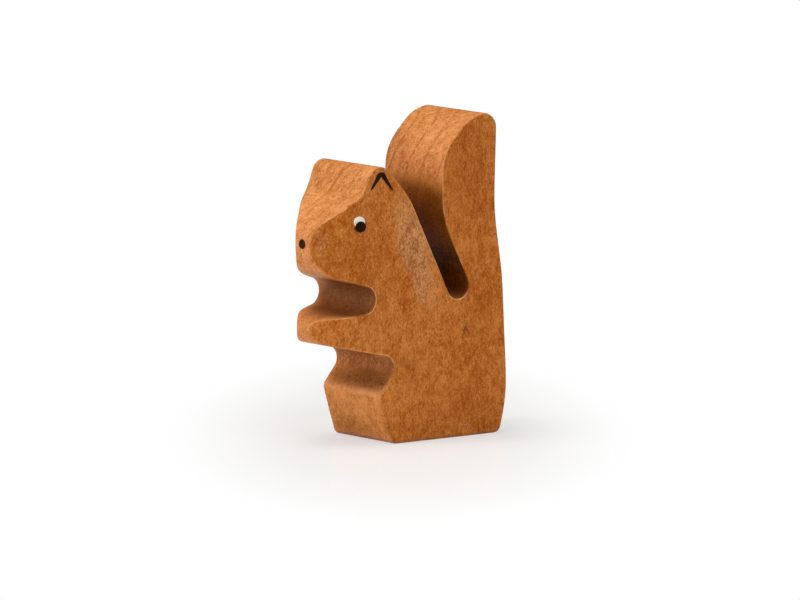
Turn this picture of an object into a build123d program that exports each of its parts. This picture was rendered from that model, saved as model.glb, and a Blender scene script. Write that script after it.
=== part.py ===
from build123d import *
import os
from math import cos, radians, sin, tan

# A squirrel sawn from one board, with sanded edges and painted eyes, ears and nose.
# Millimetres and degrees. The nose points along -X, the left side faces -Y, Z is up.
# The origin is the middle of the face that it stands on.

# Board and base
board_thickness = 20.0
base_length = 28.5
base_front_round = 1.8
base_back_round = 1.8
edge_round = 0.4  # sanded edge all round both sides of the board
wall_share = 0.96  # of a straight stretch that the roundings at its two ends may take

# Shin, knee and the notch in front of the belly
shin_reach = 2.2  # ahead of the base
shin_height = 5.75
shin_round = 40.0
knee_lean = 13.2  # off upright, towards the nose
knee_slope = 49.5  # off level
knee_round = 1.8
belly_ahead = 2.3  # centre of the notch end, ahead of the base
belly_height = 16.2
belly_radius = 2.65

# Arm
arm_setback = 0.3  # behind the nose
arm_underside_rise = 12.0  # off level, towards the paw
arm_top_drop = 9.0  # off level, towards the paw
paw_flat = 0.2  # upright stretch between the two rounded corners of the paw
paw_top_round = 2.3
paw_bottom_round = 3.2

# Notch between arm and chin
mouth_ahead = 7.3  # centre of the notch end, ahead of the base
mouth_radius = 2.95
jaw_rise = 16.8  # off level, towards the chin

# Head
nose_reach = 16.05  # ahead of the base
nose_flat = 0.55  # upright stretch between chin and muzzle
chin_round = 7.0
muzzle_round = 6.8
bridge_slope = 41.2  # off level
brow_ahead = 7.7  # ahead of the base
brow_round = 9.0
face_lean = 24.0  # off upright, from brow to ear
ear_rise = 8.1  # above the brow
ear_round = 3.0
nape_drop = 8.6  # below the ear
nape_round = 22.0

# Snout and paws narrow towards the front
snout_width = 5.0
snout_taper = 44.3  # off straight ahead
paw_width = 4.8
paw_taper = 49.1  # off straight ahead
cheek_lead = 0.2  # the cheeks start to turn in just ahead of the mouth notch end

# Slot between head and tail
slot_inset = 11.05  # centre of the slot end, ahead of the base's back corner
slot_height = 32.0
slot_radius = 2.75
neck_lean = 26.3  # off upright, towards the nose
tail_front_lean = 27.0  # off upright, towards the nose

# Back and tail, measured from the base's back corner
hip_bulge = 2.1
hip_height = 8.0
hip_round = 33.0
rump_bulge = 0.85
rump_rise = 25.2  # above the hip
rump_round = 40.0
waist_inset = 1.35
waist_rise = 14.4  # above the rump
waist_round = 50.0
tail_tip_inset = 0.7
tail_tip_round = 3.3
tail_front_inset = 15.25
tail_front_run = 13.8  # upright stretch of the tail's front edge, corner to corner
tail_belly_round = 20.0
crown_front_round = 11.0
crown_top_inset = 8.1
crown_top_drop = 1.9  # below the tail tip
crown_top_round = 8.0
crown_height = 8.85  # from the tail's front edge to its tip

# Paint
paint_film = 0.18
eye_turn = 22.8  # round the cheek, from the flat side
eye_drop = 5.4  # middle of the white, below the brow
eye_white_radius = 1.2
pupil_radius = 1.15
pupil_setback = 0.26  # behind the middle of the white
pupil_drop = 0.97  # below the middle of the white
nose_dot_radius = 1.0
nose_dot_drop = 2.98  # below the muzzle
mark_setback = 1.04  # behind the ear
mark_drop = 3.4  # below the ear
mark_width = 1.55  # across its blunt top
mark_round = 1.0
mark_stroke = 0.9  # from its top down to the fork
mark_tip = 0.3  # across the end of a stroke
mark_front_reach = 2.7
mark_front_drop = 3.5
mark_back_reach = 3.1
mark_back_drop = 3.9

front = -base_length / 2
back = base_length / 2
half_board = board_thickness / 2
nose_x = front - nose_reach
paw_x = nose_x + arm_setback
tail_front_x = back - tail_front_inset


def around(centre, radius, angle):
    return (centre[0] + radius * cos(radians(angle)), centre[1] + radius * sin(radians(angle)))


def crossing(a, a_angle, b, b_angle):
    ax, az = cos(radians(a_angle)), sin(radians(a_angle))
    bx, bz = cos(radians(b_angle)), sin(radians(b_angle))
    reach = ((b[0] - a[0]) * bz - (b[1] - a[1]) * bx) / (ax * bz - az * bx)
    return (a[0] + reach * ax, a[1] + reach * az)


def corner_run(radius, turn):
    return radius * tan(radians(turn / 2))


# Roundings that would meet on the wall between them give way in equal shares
def fitted_rounds(points, rounds):
    walls = [Vector(*b) - Vector(*a) for a, b in zip(points, points[1:])]
    runs = [corner_run(r, a.get_angle(b)) for r, a, b in zip(rounds, walls, walls[1:])]
    runs = [0, *runs, 0]
    room = [min(1, wall_share * wall.length / (a + b)) for wall, a, b in zip(walls, runs, runs[1:])]
    return [r * min(a, b) for r, a, b in zip(rounds, room, room[1:])]


# Belly notch: a round end between the knee and the underside of the arm
belly_end = (front - belly_ahead, belly_height)
belly_low = around(belly_end, belly_radius, knee_slope - 90)
belly_high = around(belly_end, belly_radius, 90 - arm_underside_rise)
shin = (front - shin_reach, shin_height)
knee = crossing(belly_low, knee_slope, shin, 90 + knee_lean)

# Arm: its tip stands upright between two straight saw cuts
paw_bottom = crossing(belly_high, -arm_underside_rise, (paw_x, 0), 90)
paw_rise = corner_run(paw_bottom_round, 90 - arm_underside_rise) + paw_flat
paw_top = (paw_x, paw_bottom[1] + paw_rise + corner_run(paw_top_round, 90 - arm_top_drop))

# Mouth notch: its round end touches the line of the arm's top
mouth_line = around(paw_top, mouth_radius, 90 + arm_top_drop)
mouth_end = crossing(mouth_line, arm_top_drop, (front - mouth_ahead, 0), 90)
mouth_low = around(mouth_end, mouth_radius, arm_top_drop - 90)
mouth_high = around(mouth_end, mouth_radius, 90 - jaw_rise)

# Tail slot: a round end between the neck and the tail
slot_end = (back - slot_inset, slot_height)
slot_front = around(slot_end, slot_radius, 180 + neck_lean)
slot_back = around(slot_end, slot_radius, tail_front_lean)

# Head, from the chin up over the muzzle, brow and ear to the nape
chin = crossing(mouth_high, -jaw_rise, (nose_x, 0), 90)
nose_rise = corner_run(chin_round, 90 - jaw_rise) + nose_flat
muzzle = (nose_x, chin[1] + nose_rise + corner_run(muzzle_round, 90 - bridge_slope))
brow = crossing(muzzle, bridge_slope, (front - brow_ahead, 0), 90)
ear = crossing(brow, 90 - face_lean, (0, brow[1] + ear_rise), 0)
nape = crossing(slot_front, 90 + neck_lean, (0, ear[1] - nape_drop), 0)

# Back and tail
hip = (back + hip_bulge, hip_height)
rump = (back + rump_bulge, hip[1] + rump_rise)
waist = (back - waist_inset, rump[1] + waist_rise)
tail_belly = crossing(slot_back, 90 + tail_front_lean, (tail_front_x, 0), 90)
crown_front = (tail_front_x, tail_belly[1] + tail_front_run)
tail_tip = (back - tail_tip_inset, crown_front[1] + crown_height)
crown_top = (back - crown_top_inset, tail_tip[1] - crown_top_drop)

# Side view: three straight-and-rounded stretches, joined by the three round notch ends
haunch_and_tail = [
    belly_low,
    knee,
    shin,
    (front, 0),
    (back, 0),
    hip,
    rump,
    waist,
    tail_tip,
    crown_top,
    crown_front,
    tail_belly,
    slot_back,
]
haunch_and_tail_rounds = [
    knee_round,
    shin_round,
    base_front_round,
    base_back_round,
    hip_round,
    rump_round,
    waist_round,
    tail_tip_round,
    crown_top_round,
    crown_front_round,
    tail_belly_round,
]
head = [slot_front, nape, ear, brow, muzzle, chin, mouth_high]
head_rounds = [nape_round, ear_round, brow_round, muzzle_round, chin_round]
arm = [mouth_low, paw_top, paw_bottom, belly_high]
arm_rounds = [paw_top_round, paw_bottom_round]

with BuildSketch(Plane.XZ) as outline:
    with BuildLine():
        FilletPolyline(*haunch_and_tail, radius=fitted_rounds(haunch_and_tail, haunch_and_tail_rounds))
        FilletPolyline(*head, radius=fitted_rounds(head, head_rounds))
        FilletPolyline(*arm, radius=fitted_rounds(arm, arm_rounds))
        CenterArc(slot_end, slot_radius, 180 + neck_lean, 180 + tail_front_lean - neck_lean)
        CenterArc(mouth_end, mouth_radius, arm_top_drop - 90, 180 - arm_top_drop - jaw_rise)
        CenterArc(belly_end, belly_radius, knee_slope - 90, 180 - knee_slope - arm_underside_rise)
    make_face()

# Plan view: straight sides that turn in at the cheeks and run straight to a blunt tip
saw_margin = 1.0  # the plan runs on past the outline
plan_back = back + hip_bulge + saw_margin
plan_top = tail_tip[1] + saw_margin
cheek_x = mouth_end[0] + mouth_radius - cheek_lead


def cheek_corner(tip_x, tip_width, taper):
    return crossing((tip_x, tip_width / 2), taper, (0, half_board), 0)


def cheek_round(corner, taper):
    return (cheek_x - corner[0]) / tan(radians(taper / 2))


def narrowed_plan(tip_x, tip_width, taper):
    corner = cheek_corner(tip_x, tip_width, taper)
    tip = crossing(corner, taper, (tip_x - saw_margin, 0), 90)
    with BuildSketch() as narrowed:
        with BuildLine():
            FilletPolyline(
                (plan_back, 0),
                (plan_back, half_board),
                corner,
                tip,
                (tip[0], 0),
                radius=[0, cheek_round(corner, taper), 0],
            )
            mirror(about=Plane.XZ)
        make_face()
    return narrowed.sketch


snout_plan = narrowed_plan(nose_x, snout_width, snout_taper)
paw_plan = narrowed_plan(paw_x, paw_width, paw_taper)

with BuildPart() as narrowed_board:
    extrude(paw_plan, amount=mouth_end[1])
    extrude(Pos(0, 0, mouth_end[1]) * snout_plan, amount=plan_top - mouth_end[1])

with BuildPart() as wooden_body:
    extrude(outline.sketch, amount=half_board, both=True)
    add(narrowed_board.part, mode=Mode.INTERSECT)
    sawn_faces = wooden_body.faces().filter_by(lambda face: abs(face.normal_at().Y) < 0.001)
    side_faces = wooden_body.faces() - sawn_faces
    fillet(sawn_faces.edges() & side_faces.edges(), radius=edge_round)
wooden_body.part.label = "wooden_body"

# Paint lies on the board as a thin film that follows its surface
snout_round = cheek_round(cheek_corner(nose_x, snout_width, snout_taper), snout_taper)
eye_plane = Plane(
    origin=(cheek_x, snout_round - half_board, brow[1] - eye_drop),
    x_dir=(cos(radians(eye_turn)), -sin(radians(eye_turn)), 0),
    z_dir=(-sin(radians(eye_turn)), -cos(radians(eye_turn)), 0),
)
eye_depth = snout_round + 4 * paint_film


def side_film(thickness):
    with BuildSketch() as film:
        add(snout_plan)
        offset(amount=thickness)
        add(snout_plan, mode=Mode.SUBTRACT)
    return film.sketch


with BuildPart() as left_eye_white:
    extrude(side_film(paint_film), amount=plan_top)
    with BuildSketch(eye_plane):
        Circle(eye_white_radius)
    extrude(amount=eye_depth, mode=Mode.INTERSECT)
left_eye_white.part.label = "left_eye_white"

# The pupil is dabbed over the lower part of the white
with BuildPart() as left_pupil:
    extrude(side_film(2 * paint_film), amount=plan_top)
    with BuildSketch(eye_plane):
        with Locations((pupil_setback, -pupil_drop)):
            Circle(pupil_radius)
    extrude(amount=eye_depth, mode=Mode.INTERSECT)
    add(left_eye_white.part, mode=Mode.SUBTRACT)
left_pupil.part.label = "left_pupil"

# Ear mark: two brush strokes that run out to points
mark_x = ear[0] + mark_setback
mark_z = ear[1] - mark_drop
with BuildPart() as left_ear_mark:
    extrude(side_film(paint_film), amount=plan_top)
    with BuildSketch(Plane.XZ):
        with BuildLine():
            FilletPolyline(
                (mark_x - mark_front_reach, mark_z - mark_front_drop),
                (mark_x - mark_width / 2, mark_z),
                (mark_x + mark_width / 2, mark_z),
                (mark_x + mark_back_reach, mark_z - mark_back_drop),
                (mark_x + mark_back_reach - mark_tip, mark_z - mark_back_drop),
                (mark_x, mark_z - mark_stroke),
                (mark_x - mark_front_reach + mark_tip, mark_z - mark_front_drop),
                radius=[0, mark_round, mark_round, 0, 0, 0, 0],
                close=True,
            )
        make_face()
    extrude(amount=half_board + saw_margin, mode=Mode.INTERSECT)
left_ear_mark.part.label = "left_ear_mark"

with BuildPart() as right_eye_white:
    mirror(left_eye_white.part, about=Plane.XZ)
right_eye_white.part.label = "right_eye_white"

with BuildPart() as right_pupil:
    mirror(left_pupil.part, about=Plane.XZ)
right_pupil.part.label = "right_pupil"

with BuildPart() as right_ear_mark:
    mirror(left_ear_mark.part, about=Plane.XZ)
right_ear_mark.part.label = "right_ear_mark"

# Nose: one dot on the blunt front of the snout
with BuildPart() as nose_dot:
    with BuildSketch(Plane.XZ):
        add(outline.sketch_local)
        offset(amount=paint_film)
        add(outline.sketch_local, mode=Mode.SUBTRACT)
    extrude(amount=half_board, both=True)
    with BuildSketch(Plane.YZ.offset(nose_x - saw_margin)):
        with Locations((0, muzzle[1] - nose_dot_drop)):
            Circle(nose_dot_radius)
    extrude(amount=saw_margin + nose_dot_radius, mode=Mode.INTERSECT)
nose_dot.part.label = "nose_dot"

os.makedirs("parts", exist_ok=True)
export_step(wooden_body.part, "parts/wooden_body.step")
export_step(left_eye_white.part, "parts/left_eye_white.step")
export_step(left_pupil.part, "parts/left_pupil.step")
export_step(left_ear_mark.part, "parts/left_ear_mark.step")
export_step(right_eye_white.part, "parts/right_eye_white.step")
export_step(right_pupil.part, "parts/right_pupil.step")
export_step(right_ear_mark.part, "parts/right_ear_mark.step")
export_step(nose_dot.part, "parts/nose_dot.step")
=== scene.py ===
import math
from types import SimpleNamespace

import bmesh
import bpy
import numpy as np
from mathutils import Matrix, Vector
from mathutils.bvhtree import BVHTree


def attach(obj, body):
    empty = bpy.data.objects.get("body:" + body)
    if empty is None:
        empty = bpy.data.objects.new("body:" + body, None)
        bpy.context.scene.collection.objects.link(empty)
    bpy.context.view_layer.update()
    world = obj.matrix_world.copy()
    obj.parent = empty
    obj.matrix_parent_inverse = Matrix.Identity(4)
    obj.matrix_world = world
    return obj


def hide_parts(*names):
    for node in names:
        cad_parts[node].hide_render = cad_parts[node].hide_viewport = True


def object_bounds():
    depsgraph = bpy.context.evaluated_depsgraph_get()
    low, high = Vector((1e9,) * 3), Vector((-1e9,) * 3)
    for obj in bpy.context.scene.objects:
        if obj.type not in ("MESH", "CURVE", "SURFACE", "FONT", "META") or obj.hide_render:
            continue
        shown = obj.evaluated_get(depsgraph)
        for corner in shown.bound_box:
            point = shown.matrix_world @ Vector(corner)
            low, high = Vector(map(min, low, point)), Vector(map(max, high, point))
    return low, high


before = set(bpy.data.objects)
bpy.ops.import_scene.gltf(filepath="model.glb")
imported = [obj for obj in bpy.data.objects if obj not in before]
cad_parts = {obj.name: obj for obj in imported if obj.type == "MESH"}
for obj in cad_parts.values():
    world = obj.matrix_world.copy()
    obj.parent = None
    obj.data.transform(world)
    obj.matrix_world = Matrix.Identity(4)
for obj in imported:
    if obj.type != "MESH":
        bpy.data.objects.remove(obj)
cadBox = [list(corner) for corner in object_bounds()]
scene = bpy.context.scene
scene.view_settings.view_transform = "Standard"
mm = 0.001
print("frame loaded:", len(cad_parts), "nodes")


class Field:  # a socket of a node tree, with maths on it
    def __init__(self, tree, socket=None):
        self.tree = tree
        self.socket = socket

    def node(self, kind, settings=None, inputs=None, output=0):
        made = self.tree.nodes.new(kind)
        for name, value in (settings or {}).items():
            setattr(made, name, value)
        for name, value in (inputs or {}).items():
            if isinstance(value, Field):
                self.tree.links.new(value.socket, made.inputs[name])
            else:
                made.inputs[name].default_value = value
        return Field(self.tree, made.outputs[output] if made.outputs else None)

    def out(self, name):  # another output of the same node
        return Field(self.tree, self.socket.node.outputs[name])

    def math(self, operation, *values):
        return self.node("ShaderNodeMath", {"operation": operation}, dict(enumerate(values)))

    def vector(self, operation, *values, output=0):
        return self.node("ShaderNodeVectorMath", {"operation": operation}, dict(enumerate(values)), output)

    def __add__(self, other):
        return self.math("ADD", self, other)

    def __sub__(self, other):
        return self.math("SUBTRACT", self, other)

    def __rsub__(self, other):
        return self.math("SUBTRACT", other, self)

    def __mul__(self, other):
        return self.math("MULTIPLY", self, other)

    __radd__ = __add__
    __rmul__ = __mul__

    def most(self, other):  # the larger of two values
        return self.math("MAXIMUM", self, other)

    def step(self, low, high, start=0.0, end=1.0):  # smooth change from start to end between low and high
        inputs = {"Value": self, "From Min": low, "From Max": high, "To Min": start, "To Max": end}
        return self.node("ShaderNodeMapRange", {"interpolation_type": "SMOOTHSTEP"}, inputs)

    def stretched(self, size, place):
        return self.vector("MULTIPLY_ADD", self, [1 / s for s in size], place)

    def noise(self, size, detail=2.0, place=(0, 0, 0), fine=0.5, warp=0.0):  # size of a blotch along each axis
        inputs = {"Vector": self.stretched(size, place), "Scale": 1.0, "Detail": detail}
        inputs.update({"Roughness": fine, "Distortion": warp})
        return self.node("ShaderNodeTexNoise", inputs=inputs)

    def cells(self, size):
        inputs = {"Vector": self.stretched(size, (0, 0, 0)), "Scale": 1.0}
        return self.node("ShaderNodeTexVoronoi", inputs=inputs)

    def patch(self, centre, turn, size):  # 1 in the middle of an oval patch, 0 from its rim on
        inputs = {"Vector": self, "Location": centre, "Rotation": (0, turn, 0), "Scale": size}
        local = self.node("ShaderNodeMapping", {"vector_type": "TEXTURE"}, inputs)
        return self.vector("LENGTH", local, output="Value").step(0, 1, 1, 0)

    def mix(self, other, share, blend="MIX"):  # colours
        other = other if isinstance(other, Field) else (*other, 1)
        settings = {"data_type": "RGBA", "blend_type": blend}
        return self.node("ShaderNodeMix", settings, {0: share, 6: self, 7: other}, 2)

    def tint(self, low, high):  # a colour between two, by value
        return self.node("ShaderNodeMix", {"data_type": "RGBA"}, {0: self, 6: (*low, 1), 7: (*high, 1)}, 2)


def startMaterial(name):
    material = bpy.data.materials.new(name)
    material.use_nodes = True
    material.node_tree.nodes.clear()
    shade = Field(material.node_tree)
    place = shade.node("ShaderNodeTexCoord", output="Object")
    return material, shade, shade.vector("MULTIPLY", place, (1 / mm,) * 3)  # places in millimetres


def closeMaterial(shade, inputs):
    surface = shade.node("ShaderNodeBsdfPrincipled", inputs=inputs)
    shade.node("ShaderNodeOutputMaterial", inputs={"Surface": surface})


# Places and sizes are in millimetres, and a patch is its middle, turn and reach.
stainedWood = {
    "sideDark": (0.37, 0.079, 0.000),  # planed sides of the board
    "sidePale": (0.69, 0.248, 0.054),
    "sawnDark": (0.47, 0.148, 0.028),  # sawn edge all round
    "sawnPale": (0.79, 0.330, 0.117),
    "sheenDark": (0.34, 0.102, 0.019),  # paler painted sheen along the neck, throat and muzzle side
    "sheenPale": (0.83, 0.400, 0.160),
    "darkFleck": (0.19, 0.042, 0.003),
    "paleFleck": (0.86, 0.46, 0.17),
    # pale wear, and painted highlight along the edges
    "paleWearAndHighlight": (0.90, 0.49, 0.23),
    "edgeShadeColour": (0.29, 0.13, 0.05),  # painted shade on the rear and right edges and along the foot
    "contrast": 2.9,
    "grainTilt": math.radians(20),  # the grain leans towards the left side as it rises
    "noises": {  # blotch size along each axis, detail, start, fineness and warp
        "cloud": ((14, 14, 22), 1.0, (4, 1, 8)),
        "mottle": ((2.0, 2.0, 3.4), 4.0, (3, 7, 1), 0.9, 0.25),
        "fibre": ((0.4, 0.4, 2.6), 2.0, (5, 5, 9)),
        "speck": ((0.30, 0.30, 0.52), 1.0, (1, 8, 4), 0.7, 0.3),
        "sawMark": ((0.34, 2.4, 0.34), 1.0, (6, 2, 3)),
        "wander": ((8, 8, 30), 2.0),  # how the growth rings stray
        "rubbing": ((5, 5, 6), 4.0, (2, 9, 6), 0.7),
        "knock": ((0.9, 0.9, 1.1), 1.0),
    },
    "toneShares": {"cloud": 0.3, "mottle": 0.85, "fibre": 0.16, "speck": 0.53, "sawMark": 0.4},
    "rings": {
        "pith": (-14.0, 60.0, 0.0),  # middle of the growth rings, beyond the right side
        "width": 2.3,
        "wander": 4.0,
        "late": (0.5, 0.92),  # stretch of a year's growth that darkens
        "fromHeight": (47.0, 56.0),  # the rings show above these heights
        "onBack": (0.4, 0.8),  # and where a face looks this far back
        "broken": (-0.2, 0.15, 1.0, 0.3),  # fainter where mottle and fibre are pale
        "sawnShare": 0.75,
        "sideShare": 0.05,
    },
    "flecks": {
        "spacing": (0.75, 0.75, 1.3),  # longest along the grain
        "dot": (0.12, 0.34, 1, 0),
        "darkChance": (0.55, 0.75),
        "darkShare": 0.55,
        "paleChance": (0.22, 0.14),
        "paleShare": 0.35,
    },
    "paintedSheens": {  # patch of the painted sheen, and its share
        "neck": ((-8.8, -10.0, 42.6), math.radians(-20), (6.0, 3.0, 15.0), 1.0),
        "throat": ((-5.4, -10.0, 32.5), math.radians(-20), (4.5, 3.0, 8.0), 0.85),
        "muzzle": ((-29.4, -4.6, 43.0), 0.0, (2.2, 2.4, 5.0), 0.45),
    },
    "sheenBorder": 0.6,
    "sheenMottle": (0.16, -0.12, 0.2, 1.0),
    "oldKnock": {
        "patch": ((5.2, -10.0, 22.5), 0.0, (1.7, 1.0, 2.0)),
        "border": (0, 0.5),
        "broken": (0.48, 0.58),
        "share": 0.8,
    },
    "scratch": {
        "patch": ((4.4, -10.0, 2.55), math.radians(8), (4.0, 0.8, 0.30)),
        "border": (0.2, 0.7),
        "broken": (-0.1, 0.05),
        "share": 0.4,
    },
    # Stain and painted shade together where the wood lies dark: in the cuts, the head's painted shadow on the tail
    # in the slot, the shin and foot, and the right-hand crown and brow. Each has its patch, soft border, tint and
    # mottling.
    # Mottling above 0 darkens the pale blotches more, and below 0 the dark ones.
    "sawnStainAndShade": {
        "mouth": ((-21.6, -4.0, 30.6), math.radians(3), (11.0, 23.0, 5.5), 0.45, (0.24, 0.20, 0.16), 1.0),
        "belly": ((-14.4, 0.0, 17.0), 0.0, (6.2, 40.0, 4.6), 0.8, (0.53, 0.49, 0.40), -0.5),
        "knee": ((-14.0, -3.0, 12.3), 0.0, (6.0, 24.0, 4.2), 0.8, (0.18, 0.14, 0.07), 1.0),
        # the head's painted shadow on the tail in the slot, and painted shade deeper in
        "slot": ((0.1, 1.5, 42.2), math.radians(-26), (8.8, 34.0, 22.0), 0.45, (0.30, 0.19, 0.00), 1.0),
        "slotGold": ((0.1, 1.5, 42.2), math.radians(-26), (8.8, 34.0, 21.0), 0.45, (0.97, 1.00, 0.30), 1.0),
        "slotFoot": ((1.8, 0.0, 35.5), math.radians(-26), (6.0, 40.0, 11.0), 0.85, (0.17, 0.14, 0.14), 1.0),
        # painted shade on the shin and foot
        "foot": ((-14.6, 5.0, 2.0), 0.0, (5.5, 15.0, 8.0), 0.8, (0.82, 0.81, 0.70), -0.35),
        "shin": ((-16.0, 0.0, 6.0), 0.0, (5.0, 40.0, 7.0), 0.5, (0.90, 0.84, 0.58), -0.35),
        # painted shade over the right-hand crown and brow
        "rightCrown": ((-2.0, 9.0, 62.0), 0.0, (9.0, 8.0, 9.0), 0.8, (0.72, 0.68, 0.65), -0.35),
        "rightBrow": ((-18.5, 8.5, 53.0), 0.0, (8.0, 7.0, 8.0), 0.8, (0.84, 0.85, 0.84), -0.35),
    },
    "sideStainAndShade": {  # stain and painted shade on the planed sides, at the tail's top and by the elbow
        "tailTop": ((5.0, -10.0, 57.0), 0.0, (10.0, 6.0, 19.0), 0.6, (0.84, 0.75, 0.56), -0.35),
        "elbow": ((-12.0, -10.0, 15.0), 0.0, (9.0, 6.0, 6.0), 0.8, (0.86, 0.81, 0.70), -0.35),
    },
    "darkening": {"even": 0.8, "mottle": 1.7, "speck": 1.3},
    "edgeLine": {  # between the planed sides and the sawn faces
        "width": 0.12,
        "fade": 0.9,  # how far it fades where the wood was handled most
        "crest": (0.34, 0.10),  # the middle of the sanded edge
        "crestFade": 0.6,
    },
    "rubbedAndLitRims": {  # patch of the places rubbed most and of painted highlight along the edges, and how far
        "neck": ((-4.8, -10.0, 43.0), math.radians(-26), (3.0, 2.5, 15.0), 0.7),
        "slotFoot": ((3.2, -10.0, 29.6), 0.0, (4.2, 2.5, 3.0), 0.9),
        "mouth": ((-19.5, -10.0, 31.0), 0.0, (5.0, 3.0, 5.2), 0.7),
        "armTop": ((-27.0, -8.0, 27.6), 0.0, (5.0, 6.0, 2.2), 0.5),
        "belly": ((-15.0, -10.0, 18.6), 0.0, (4.5, 2.5, 2.4), 0.6),
        "tail": ((-0.9, -10.0, 50.5), 0.0, (2.0, 2.5, 5.0), 0.6),
        "brow": ((-19.6, -9.0, 51.5), math.radians(24), (4.0, 5.0, 8.5), 0.75),
        # painted highlight along the muzzle ridge, widening its lit side
        "muzzle": ((-26.5, -6.0, 44.5), math.radians(45), (5.0, 6.0, 7.5), 0.65),
    },
    "rimBorder": 0.5,
    "rubbing": {"spots": (0.45, 0.65), "share": 0.35, "mottle": (-0.2, 0.1, 0.45, 1.0)},
    "edgeShade": {  # painted shade on rounded edges turned from the lamps, and along the foot
        "facing": (0.15, 0.6),  # on edges that look this far back or to the right
        "clouds": (-0.06, 0.1),
        "share": 0.5,
        # painted contact shade along the foot
        "footHeight": (1.1, 0.1),
        "footShare": 0.5,
    },
    # painted highlight along the knee's ridge
    "kneeHighlight": ((-17.4, 0.0, 10.7), math.radians(-10), (1.6, 40.0, 1.1)),
    "kneeHighlightShare": 0.2,
    "relief": {"fibre": 0.4, "speck": 0.6, "sawMark": 0.5, "fleck": 0.4},
    "reliefStrength": 0.5,
    "reliefDepth": 0.06 * mm,
    "roughness": {"even": 0.46, "speck": 0.2, "fleck": 0.1},
    "ior": 1.45,
    "gloss": 0.09,
}


def woodFields(shade, place):  # what the stain, the wear and the painted light and shade go by, at each point of the wood
    wood = stainedWood
    spot = SimpleNamespace(place=place)
    stored = ("edgePlace", "handled", "edgeBend")  # by markFaces
    spot.edge, spot.handled, spot.wear = [
        shade.node("ShaderNodeAttribute", {"attribute_name": name}, output="Fac") for name in stored
    ]
    line = wood["edgeLine"]
    spot.sawn = (spot.edge * (1 - spot.handled * line["fade"])).step(-line["width"], line["width"])
    spot.height = place.node("ShaderNodeSeparateXYZ", inputs={0: place}).out("Z")
    normal = shade.node("ShaderNodeNewGeometry", output="Normal")
    spot.facing = shade.node("ShaderNodeSeparateXYZ", inputs={0: normal})
    tilted = {"Vector": place, "Rotation": (wood["grainTilt"], 0, 0)}
    grain = shade.node("ShaderNodeMapping", {"vector_type": "TEXTURE"}, tilted)
    noises = wood["noises"]
    spot.cloud, spot.sawMark = [place.noise(*noises[name]) - 0.5 for name in ("cloud", "sawMark")]
    spot.mottle, spot.fibre, spot.speck = [grain.noise(*noises[name]) - 0.5 for name in ("mottle", "fibre", "speck")]
    spot.rings = growthRings(shade, grain, spot)
    flecks = wood["flecks"]
    spindle = grain.cells(flecks["spacing"])
    chance = spindle.node("ShaderNodeSeparateColor", inputs={0: spindle.out("Color")})
    dot = spindle.step(*flecks["dot"])
    spot.darkFleck = dot * chance.step(*flecks["darkChance"])
    spot.paleFleck = dot * chance.step(*flecks["paleChance"])
    return spot


def growthRings(shade, grain, spot):
    rings = stainedWood["rings"]
    wander = grain.noise(*stainedWood["noises"]["wander"]) - 0.5
    across = grain.vector("MULTIPLY", grain.vector("SUBTRACT", grain, rings["pith"]), (1, 1, 0))
    radius = across.vector("LENGTH", across, output="Value") + wander * rings["wander"]
    ring = radius * (1 / rings["width"])
    growth = ring.math("FRACT", ring)  # from spring to autumn
    year = shade.node("ShaderNodeTexWhiteNoise", {"noise_dimensions": "1D"}, {"W": ring.math("FLOOR", ring)})
    lateStart, lateEnd = rings["late"]
    lateWood = growth.step(lateStart, lateEnd) * growth.step(lateEnd, 1.0, 1, 0) * year
    shown = spot.height.step(*rings["fromHeight"]).most(spot.facing.step(*rings["onBack"]))
    broken = (spot.mottle + spot.fibre).step(*rings["broken"])
    return lateWood * broken * shown * (spot.sawn * rings["sawnShare"] + rings["sideShare"])


def boardColour(spot):
    wood = stainedWood
    shares = wood["toneShares"]
    spread = spot.cloud * shares["cloud"] + spot.mottle * shares["mottle"]
    spread = spread + spot.fibre * shares["fibre"] + spot.speck * shares["speck"]
    tone = 0.5 + spread * wood["contrast"] - spot.rings + spot.sawMark * spot.sawn * shares["sawMark"]
    sawnColour = tone.tint(wood["sawnDark"], wood["sawnPale"])
    colour = tone.tint(wood["sideDark"], wood["sidePale"]).mix(sawnColour, spot.sawn)
    # paler painted sheen where the neck, the throat and the muzzle side catch the light
    sheenColour = tone.tint(wood["sheenDark"], wood["sheenPale"])
    blotches = (spot.mottle + spot.cloud).step(*wood["sheenMottle"])
    for *patch, share in wood["paintedSheens"].values():
        sheen = spot.place.patch(*patch).step(0.0, wood["sheenBorder"]) * blotches
        colour = colour.mix(sheenColour, sheen * share)
    flecks = wood["flecks"]
    colour = colour.mix(wood["darkFleck"], spot.darkFleck * flecks["darkShare"])
    colour = colour.mix(wood["paleFleck"], spot.paleFleck * flecks["paleShare"])
    knock, scratch = wood["oldKnock"], wood["scratch"]
    chipped = spot.place.noise(*wood["noises"]["knock"]).step(*knock["broken"])
    knocked = spot.place.patch(*knock["patch"]).step(*knock["border"]) * chipped
    colour = colour.mix(wood["darkFleck"], knocked * knock["share"])
    scratched = spot.place.patch(*scratch["patch"]).step(*scratch["border"]) * spot.fibre.step(*scratch["broken"])
    return colour.mix(wood["paleWearAndHighlight"], scratched * scratch["share"])


def addStainAndShade(spot, colour):
    wood = stainedWood
    darkening = wood["darkening"]
    uneven = spot.mottle * darkening["mottle"] + spot.speck * darkening["speck"]
    # stain and painted shade, multiplied into the colour
    for faces, stains in ((spot.sawn, wood["sawnStainAndShade"]), (1 - spot.sawn, wood["sideStainAndShade"])):
        for *patch, border, tint, mottling in stains.values():
            darkened = spot.place.patch(*patch).step(0.0, border) * faces * (uneven * mottling + darkening["even"])
            colour = colour.mix(tint, darkened, "MULTIPLY")
    return colour


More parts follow.
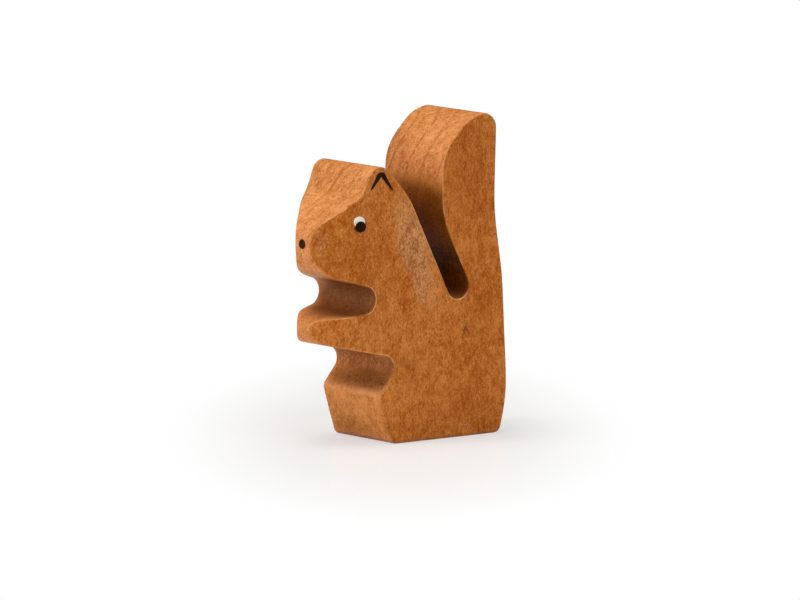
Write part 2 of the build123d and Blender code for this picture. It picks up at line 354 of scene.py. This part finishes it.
def edgeWearAndLight(spot, colour):
    wood = stainedWood
    line, rubbing, edgeShade = wood["edgeLine"], wood["rubbing"], wood["edgeShade"]
    rubbedAndLit = spot.place.noise(*wood["noises"]["rubbing"]).step(*rubbing["spots"]) * rubbing["share"]
    for *patch, share in wood["rubbedAndLitRims"].values():
        rubbedAndLit = rubbedAndLit.most(spot.place.patch(*patch).step(0.0, wood["rimBorder"]) * share)
    # painted shade on rounded edges that face back or to the right, and along the foot
    away = spot.facing.step(*edgeShade["facing"]).most(spot.facing.out("Y").step(*edgeShade["facing"]))
    edgeShaded = spot.wear * away * spot.cloud.step(*edgeShade["clouds"]) * (1 - rubbedAndLit) * edgeShade["share"]
    edgeShaded = edgeShaded + spot.height.step(*edgeShade["footHeight"]) * edgeShade["footShare"]
    colour = colour.mix(wood["edgeShadeColour"], edgeShaded)
    # pale wear and painted highlight along the middle of the sanded edges
    crest = spot.edge.math("ABSOLUTE", spot.edge).step(*line["crest"]) * (1 - spot.handled * line["crestFade"])
    patchy = spot.mottle.step(*rubbing["mottle"])
    colour = colour.mix(wood["paleWearAndHighlight"], crest * rubbedAndLit * patchy)
    # painted highlight along the knee's ridge
    litKneeRidge = spot.place.patch(*wood["kneeHighlight"]) * spot.sawn * patchy
    return colour.mix(wood["paleWearAndHighlight"], litKneeRidge * wood["kneeHighlightShare"])


def makeWood():
    wood = stainedWood
    material, shade, place = startMaterial("stainedWood")
    spot = woodFields(shade, place)
    colour = edgeWearAndLight(spot, addStainAndShade(spot, boardColour(spot)))
    relief, rough = wood["relief"], wood["roughness"]
    height = spot.fibre * relief["fibre"] + spot.speck * relief["speck"]
    height = height + spot.sawMark * spot.sawn * relief["sawMark"] - spot.darkFleck * relief["fleck"]
    bumps = {"Strength": wood["reliefStrength"], "Distance": wood["reliefDepth"], "Height": height}
    surface = {
        "Base Color": colour,
        "Roughness": spot.speck * rough["speck"] + spot.darkFleck * rough["fleck"] + rough["even"],
        "Normal": shade.node("ShaderNodeBump", inputs=bumps),
        "IOR": wood["ior"],
        "Specular IOR Level": wood["gloss"],
    }
    closeMaterial(shade, surface)
    return material


paints = {
    "white": {"thick": (1.0, 0.93, 0.84), "thin": (0.98, 0.86, 0.73), "roughness": 0.34, "gloss": 0.5},
    "black": {"thick": (0.013, 0.005, 0.001), "thin": (0.024, 0.010, 0.002), "roughness": 0.36, "gloss": 0.06},
    "noseBrown": {"thick": (0.026, 0.005, 0.001), "thin": (0.064, 0.016, 0.004), "roughness": 0.36, "gloss": 0.05},
}
brushwork = {  # the same in every paint
    "strokes": ((0.22, 0.22, 0.8), 3.0),  # stroke size along each axis, and detail
    "thinning": (0.38, 0.72),
    "ridgeStrength": 0.35,
    "ridgeDepth": 0.04 * mm,
    "roughSpread": 0.2,
    "ior": 1.45,
}


def makePaint(name):
    paint = paints[name]
    material, shade, place = startMaterial(name + "Paint")
    brush = place.noise(*brushwork["strokes"])
    ridges = {"Strength": brushwork["ridgeStrength"], "Distance": brushwork["ridgeDepth"], "Height": brush}
    spread = brushwork["roughSpread"]
    surface = {
        "Base Color": brush.step(*brushwork["thinning"]).tint(paint["thick"], paint["thin"]),
        "Roughness": brush * spread + (paint["roughness"] - spread / 2),
        "Normal": shade.node("ShaderNodeBump", inputs=ridges),
        "IOR": brushwork["ior"],
        "Specular IOR Level": paint["gloss"],
    }
    closeMaterial(shade, surface)
    return material


figure = {
    "cell": 0.335 * mm,  # spacing of the finer mesh
    "even": 3,  # rounds of smoothing after it
    "waveDepth": 0.03 * mm,  # hollows left by sanding, cut into the wood only
    "waveLength": 7.0 * mm,
    "grainDepth": 0.02 * mm,
    "grainWidth": 0.9 * mm,
    "grainLength": 5.0 * mm,
    "seed": 4.0,
    "soft": {  # where hands and sanding rounded it most: centre and reach in millimetres
        "paw": ((-30.0, 0.0, 25.0), (3.2, 6.0, 6.0)),
        "leftPaw": ((-26.5, -6.5, 21.2), (8.0, 10.0, 3.0)),
        "rightPaw": ((-26.5, 6.5, 21.2), (8.0, 10.0, 3.0)),
        "snout": ((-30.4, 0.0, 40.0), (2.2, 5.0, 5.5)),
        "leftChin": ((-26.5, -6.5, 34.6), (5.5, 5.5, 2.4)),
        "rightChin": ((-26.5, 6.5, 34.6), (5.5, 5.5, 2.4)),
        "leftShin": ((-16.4, -10.2, 5.0), (2.6, 2.2, 8.0)),
        "rightShin": ((-16.4, 10.2, 5.0), (2.6, 2.2, 8.0)),
    },
    "softRounds": 24,
    "faded": {  # where the line between side and sawn face fades as well
        "leftMuzzle": ((-29.0, -5.0, 39.0), (4.0, 4.0, 5.5)),
        "rightMuzzle": ((-29.0, 5.0, 39.0), (4.0, 4.0, 5.5)),
        "leftPawFront": ((-28.5, -4.5, 24.5), (4.5, 5.0, 5.0)),
        "rightPawFront": ((-28.5, 4.5, 24.5), (4.5, 5.0, 5.0)),
    },
    "zoneRise": 1.6,  # how steeply a zone sets in from its rim
    "softFrom": 0.02,  # weaker weights are left out
    "convexBend": (0.25, 0.3),  # bend per millimetre from which an edge counts as rounded, and the range to fully rounded
    "edgeReach": 2.0,  # distances from the edge stop here, in millimetres
    "cheeksFrom": -18.8 * mm,  # the sides turn in ahead of this
    "sideFlat": 0.999,  # how far a face of the solid looks sideways: a flat side, a cheek and a sawn face
    "cheekFlat": 0.65,
    "sawnFlat": 0.05,
    "upright": 0.02,  # sides look no further up or down than this
}
weldDistance = 0.001 * mm
smoothing = 0.5  # share of each smoothing round


def mergedCopy(node, name):
    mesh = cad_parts[node].data.copy()
    mesh.materials.clear()
    soup = bmesh.new()
    soup.from_mesh(mesh)
    bmesh.ops.remove_doubles(soup, verts=soup.verts, dist=weldDistance)
    soup.to_mesh(mesh)
    soup.free()
    piece = bpy.data.objects.new(name, mesh)
    scene.collection.objects.link(piece)
    return piece


def evaluated(piece, name):  # the modified mesh, as a plain one
    graph = bpy.context.evaluated_depsgraph_get()
    mesh = bpy.data.meshes.new_from_object(piece.evaluated_get(graph), depsgraph=graph)
    mesh.name = name
    piece.modifiers.clear()
    piece.data = mesh
    mesh.polygons.foreach_set("use_smooth", [True] * len(mesh.polygons))


def smooth(piece, name, rounds):
    modifier = piece.modifiers.new(name, "SMOOTH")
    modifier.factor = smoothing
    modifier.iterations = rounds
    return modifier


def remesh(piece, cell, rounds):
    finer = piece.modifiers.new("finer", "REMESH")
    finer.mode = "VOXEL"
    finer.voxel_size = cell
    smooth(piece, "even", rounds)


def vertexArray(mesh, what):
    values = np.empty(len(mesh.vertices) * 3)
    mesh.vertices.foreach_get(what, values)
    return values.reshape(-1, 3)


def zoneWeight(mesh, zones):  # 1 inside a zone, falling to 0 at its rim
    place = vertexArray(mesh, "co") / mm
    weight = np.zeros(len(place))
    for centre, reach in zones.values():
        away = np.linalg.norm((place - centre) / reach, axis=1)
        weight = np.maximum(weight, np.clip(figure["zoneRise"] * (1 - away), 0, 1))
    return weight


def soften(piece):  # rounds the places that were handled most
    weight = zoneWeight(piece.data, figure["soft"])
    group = piece.vertex_groups.new(name="handled")
    for index in np.nonzero(weight > figure["softFrom"])[0]:
        group.add([int(index)], float(weight[index]), "REPLACE")
    smooth(piece, "rounding", figure["softRounds"]).vertex_group = group.name


sandingPorts = {  # the tree's inputs, and the values of the figure that they take
    "Wave Depth": "waveDepth",
    "Wave Length": "waveLength",
    "Grain Depth": "grainDepth",
    "Grain Width": "grainWidth",
    "Grain Length": "grainLength",
    "Seed": "seed",
}
noiseRange = (0.25, 0.75)  # where nearly all of a noise lies
grainSeedStep = 3  # keeps the grain apart from the waves


def sandingTree(material):
    tree = bpy.data.node_groups.new("sandedSurface", "GeometryNodeTree")
    ports = tree.interface
    ports.new_socket("Geometry", in_out="INPUT", socket_type="NodeSocketGeometry")
    for name in sandingPorts:
        ports.new_socket(name, in_out="INPUT", socket_type="NodeSocketFloat")
    ports.new_socket("Geometry", in_out="OUTPUT", socket_type="NodeSocketGeometry")
    field = Field(tree)
    given = field.node("NodeGroupInput")
    place = field.node("GeometryNodeInputPosition")
    normal = field.node("GeometryNodeInputNormal")
    seed, width = given.out("Seed"), given.out("Grain Width")
    wavePlace = place.vector("DIVIDE", place, given.out("Wave Length"))
    waveInputs = {"Vector": wavePlace, "W": seed, "Scale": 1.0, "Detail": 1.0}
    wave = field.node("ShaderNodeTexNoise", {"noise_dimensions": "4D"}, waveInputs)
    size = field.node("ShaderNodeCombineXYZ", inputs={0: width, 1: width, 2: given.out("Grain Length")})
    grainPlace = place.vector("DIVIDE", place, size)
    grainInputs = {"Vector": grainPlace, "W": seed + grainSeedStep, "Scale": 1.0, "Detail": 2.0}
    grain = field.node("ShaderNodeTexNoise", {"noise_dimensions": "4D"}, grainInputs)
    depth = wave.step(*noiseRange) * given.out("Wave Depth") + grain.step(*noiseRange) * given.out("Grain Depth")
    inward = field.node("ShaderNodeVectorMath", {"operation": "SCALE"}, {0: normal, "Scale": 0 - depth})
    moved = field.node("GeometryNodeSetPosition", inputs={"Geometry": given.out("Geometry"), "Offset": inward})
    whole = field.node("GeometryNodeRealizeInstances", inputs={"Geometry": moved})
    coated = field.node("GeometryNodeSetMaterial", inputs={"Geometry": whole, "Material": material})
    field.node("NodeGroupOutput", inputs={"Geometry": coated})
    return tree


def sand(piece, material):
    tree = sandingTree(material)
    sanding = piece.modifiers.new("sanding", "NODES")
    sanding.node_group = tree
    for port in tree.interface.items_tree:
        if port.in_out == "INPUT" and port.name in sandingPorts:
            sanding[port.identifier] = figure[sandingPorts[port.name]]


def edgeDistance(mesh):  # millimetres from the sanded edge, above 0 on sawn faces and below 0 on the planed sides
    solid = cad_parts["wooden_body"].data
    corners = [point.co.copy() for point in solid.vertices]
    sides, cuts = [], []
    for face in solid.polygons:
        sideways = abs(face.normal.y)
        ahead = face.normal.x < 0 and face.center.x < figure["cheeksFrom"]
        onSide = sideways > figure["sideFlat"] or (ahead and sideways > figure["cheekFlat"])
        if sideways < figure["sawnFlat"]:
            cuts.append(face.vertices[:])
        elif onSide and abs(face.normal.z) < figure["upright"]:
            sides.append(face.vertices[:])
    side, cut = [BVHTree.FromPolygons(corners, faces) for faces in (sides, cuts)]
    gaps = [side.find_nearest(point.co)[3] - cut.find_nearest(point.co)[3] for point in mesh.vertices]
    return np.clip(np.array(gaps) / mm, -figure["edgeReach"], figure["edgeReach"])


def edgeBend(mesh):  # 0 to 1, by how sharply the surface bends outwards
    place, normal = vertexArray(mesh, "co"), vertexArray(mesh, "normal")
    pairs = np.empty(len(mesh.edges) * 2, dtype=int)
    mesh.edges.foreach_get("vertices", pairs)
    a, b = pairs.reshape(-1, 2).T
    run = place[b] - place[a]
    bend = np.einsum("ij,ij->i", normal[b] - normal[a], run) / np.einsum("ij,ij->i", run, run)
    ends = np.concatenate([a, b])
    count = len(mesh.vertices)
    edgesHere = np.bincount(ends, minlength=count)
    bend = np.bincount(ends, np.concatenate([bend, bend]), minlength=count) / edgesHere * mm
    start, spread = figure["convexBend"]
    return np.clip((bend - start) / spread, 0, 1)


def markFaces(piece):  # what the wood's material reads at each point
    mesh = piece.data
    marks = {
        "edgeBend": edgeBend(mesh),
        "edgePlace": edgeDistance(mesh),
        "handled": zoneWeight(mesh, {**figure["soft"], **figure["faded"]}),
    }
    for name, values in marks.items():
        mesh.attributes.new(name, "FLOAT", "POINT").data.foreach_set("value", values.astype(np.float32))


def makeFigure(material):
    piece = mergedCopy("wooden_body", "squirrelWood")
    remesh(piece, figure["cell"], figure["even"])
    fitted = piece.modifiers.new("fitted", "SHRINKWRAP")  # back onto the solid, so that edges run true
    fitted.wrap_method = "NEAREST_SURFACEPOINT"
    fitted.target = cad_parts["wooden_body"]
    evaluated(piece, "squirrelWood")
    soften(piece)
    sand(piece, material)
    evaluated(piece, "squirrelWood")
    piece.vertex_groups.clear()
    markFaces(piece)
    return piece


paintMarks = {
    "cell": 0.06 * mm,
    "even": 2,
}


def makeMark(node, name, material):
    piece = mergedCopy(node, name)
    remesh(piece, paintMarks["cell"], paintMarks["even"])
    evaluated(piece, name)
    inside = np.clip(vertexArray(piece.data, "co"), *cadBox)
    piece.data.vertices.foreach_set("co", inside.ravel())
    piece.data.materials.append(material)
    return piece


wood = makeWood()
white, black, noseBrown = [makePaint(name) for name in paints]
print("materials: stained wood and", len(paints), "paints")
body = makeFigure(wood)
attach(body, "root")
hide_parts("wooden_body")
print("wood:", len(body.data.polygons), "faces")
marks = {
    "left_eye_white": ("leftEyeWhite", white, "white_paint"),
    "right_eye_white": ("rightEyeWhite", white, "white_paint"),
    "left_pupil": ("leftPupil", black, "black_paint"),
    "right_pupil": ("rightPupil", black, "black_paint"),
    "left_ear_mark": ("leftEarMark", black, "black_paint"),
    "right_ear_mark": ("rightEarMark", black, "black_paint"),
    "nose_dot": ("noseDot", noseBrown, "black_paint"),
}
for node, (name, material, slot) in marks.items():
    mark = makeMark(node, name, material)
    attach(mark, "root")
    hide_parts(node)
print("paint marks:", len(marks))

photoView = {
    "azimuth": math.radians(-37.766),
    "elevation": math.radians(7.585),
    "distance": 2097.831 * mm,
    "target": (-4.569 * mm, 0, 28.592 * mm),
    "lens": 450.0,
    "sensor": 36.0,
    "farLimit": 20.0,
}
studio = {
    "floorRadius": 6.0,
    "floorCorners": 96,
    "halo": (0.052, 0.135),  # reach of the floor's soft grey, across and along the view
    "haloStart": 0.3,
    "haloPlace": (-3.0, 2.3, 0.0),
    "floorWhite": 0.56,  # share of plain white in the middle of the halo
    "floorColour": (0.87, 0.84, 0.79),
    "grit": ((3, 3, 3), 4.0),
    "gritShade": 0.98,
    "floorRoughness": 0.28,
    "floorIor": 1.35,
    "skyLight": 0.05,
    "aim": (0, 0, 0.03),
    "lamps": {
        "overhead": {"place": (-0.18, 0.10, 1.48), "power": 17.8, "size": 1.0},
        "front": {"place": (-1.17, 0.52, 0.58), "power": 9.8, "size": 0.5},
        "leftFill": {"place": (0.42, -1.38, 0.46), "power": 7.9, "size": 0.6},
    },
}


def makeFloor():
    disc = bmesh.new()
    bmesh.ops.create_circle(disc, cap_ends=True, segments=studio["floorCorners"], radius=studio["floorRadius"])
    mesh = bpy.data.meshes.new("floor")
    disc.to_mesh(mesh)
    disc.free()
    floor = bpy.data.objects.new("floor", mesh)
    scene.collection.objects.link(floor)
    material, shade, place = startMaterial("paleFloor")
    across, along = studio["halo"]
    oval = {"Vector": place, "Location": studio["haloPlace"]}
    oval.update({"Rotation": (0, 0, photoView["azimuth"]), "Scale": (across / mm, along / mm, 1)})
    local = shade.node("ShaderNodeMapping", {"vector_type": "TEXTURE"}, oval)
    away = local.vector("LENGTH", local, output="Value")
    plain = away.step(studio["haloStart"], 1.0, studio["floorWhite"], 1.0)
    path = shade.node("ShaderNodeLightPath", output="Is Camera Ray")
    seen = path.most(path.out("Is Glossy Ray")).most(path.out("Is Transmission Ray"))
    gritColour = [studio["gritShade"] * c for c in studio["floorColour"]]
    colour = place.noise(*studio["grit"]).tint(gritColour, studio["floorColour"])
    finish = {"Base Color": colour, "Roughness": studio["floorRoughness"], "IOR": studio["floorIor"]}
    matt = shade.node("ShaderNodeBsdfPrincipled", inputs=finish)
    bright = shade.node("ShaderNodeEmission", inputs={"Color": (1, 1, 1, 1), "Strength": 1.0})
    surface = shade.node("ShaderNodeMixShader", inputs={0: seen * plain, 1: matt, 2: bright})
    shade.node("ShaderNodeOutputMaterial", inputs={"Surface": surface})
    mesh.materials.append(material)


def makeLight():
    world = bpy.data.worlds.new("studio")
    scene.world = world
    world.use_nodes = True
    world.node_tree.nodes.clear()
    shade = Field(world.node_tree)
    path = shade.node("ShaderNodeLightPath", output="Is Camera Ray")
    strength = path.most(path.out("Is Transmission Ray")).step(0, 1, studio["skyLight"], 1.0)
    sky = shade.node("ShaderNodeBackground", inputs={"Color": (1, 1, 1, 1), "Strength": strength})
    shade.node("ShaderNodeOutputWorld", inputs={"Surface": sky})
    for name, values in studio["lamps"].items():
        light = bpy.data.lights.new(name, "AREA")
        light.energy = values["power"]
        light.shape = "DISK"
        light.size = values["size"]
        lamp = bpy.data.objects.new(name, light)
        scene.collection.objects.link(lamp)
        lamp.location = values["place"]
        lamp.rotation_mode = "QUATERNION"
        lamp.rotation_quaternion = (Vector(studio["aim"]) - lamp.location).to_track_quat("-Z", "Y")


def makeCamera():
    lens = bpy.data.cameras.new("photoCamera")
    lens.lens = photoView["lens"]
    lens.sensor_width = photoView["sensor"]
    lens.clip_end = photoView["farLimit"]
    camera = bpy.data.objects.new("photoCamera", lens)
    scene.collection.objects.link(camera)
    turn, lift = photoView["azimuth"], photoView["elevation"]
    back = Vector((math.sin(turn) * math.cos(lift), -math.cos(turn) * math.cos(lift), math.sin(lift)))
    camera.location = Vector(photoView["target"]) + back * photoView["distance"]
    camera.rotation_mode = "QUATERNION"
    camera.rotation_quaternion = (-back).to_track_quat("-Z", "Y")
    scene.camera = camera


makeFloor()
makeLight()
makeCamera()
print("stage: floor,", len(studio["lamps"]), "lamps and camera")
